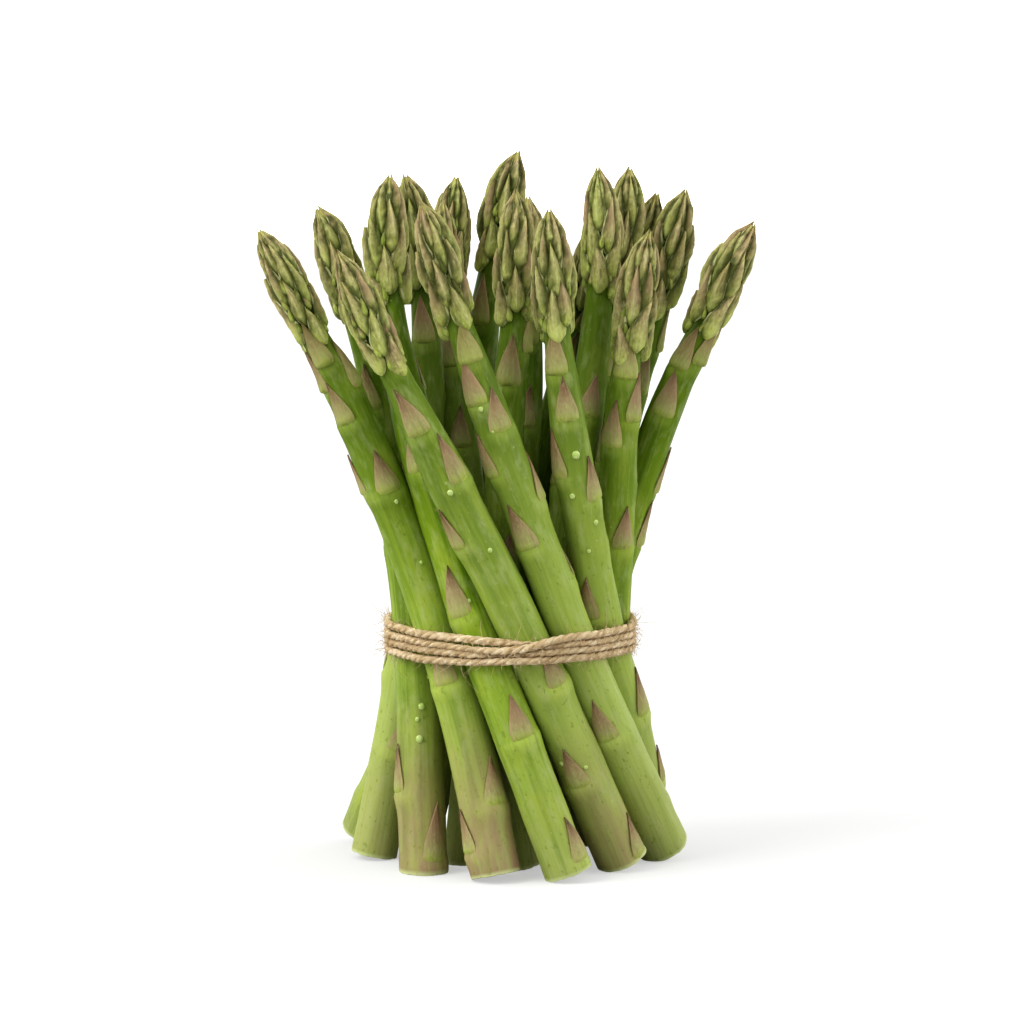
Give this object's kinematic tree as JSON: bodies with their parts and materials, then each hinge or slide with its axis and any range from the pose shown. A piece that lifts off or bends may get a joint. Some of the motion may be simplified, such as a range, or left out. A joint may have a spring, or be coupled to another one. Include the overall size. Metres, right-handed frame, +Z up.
{
  "type": "bundle of asparagus",
  "caption": "Upright bundle of fresh green asparagus spears, tied round the middle with jute twine and standing on its cut ends.",
  "frame": {"origin": "middle of the plane the bundle stands on", "axes": "+Z up along the spears, -Y towards the front of the bundle"},
  "size_m": [0.153, 0.106, 0.2218],
  "materials": {
    "spear": "waxy fresh vegetable skin, green with mauve-brown scale leaves",
    "twine": "undyed jute twine with loose fibres"
  },
  "bodies": {
    "root": {"spear_01": "spear", "spear_02": "spear", "spear_03": "spear", "spear_04": "spear", "spear_05": "spear", "spear_06": "spear", "spear_07": "spear", "spear_08": "spear", "spear_09": "spear", "spear_10": "spear", "spear_11": "spear", "spear_12": "spear", "spear_13": "spear", "spear_14": "spear", "spear_15": "spear", "spear_16": "spear", "spear_17": "spear", "spear_18": "spear", "spear_19": "spear", "twine": "twine"}
  },
  "joints": []
}
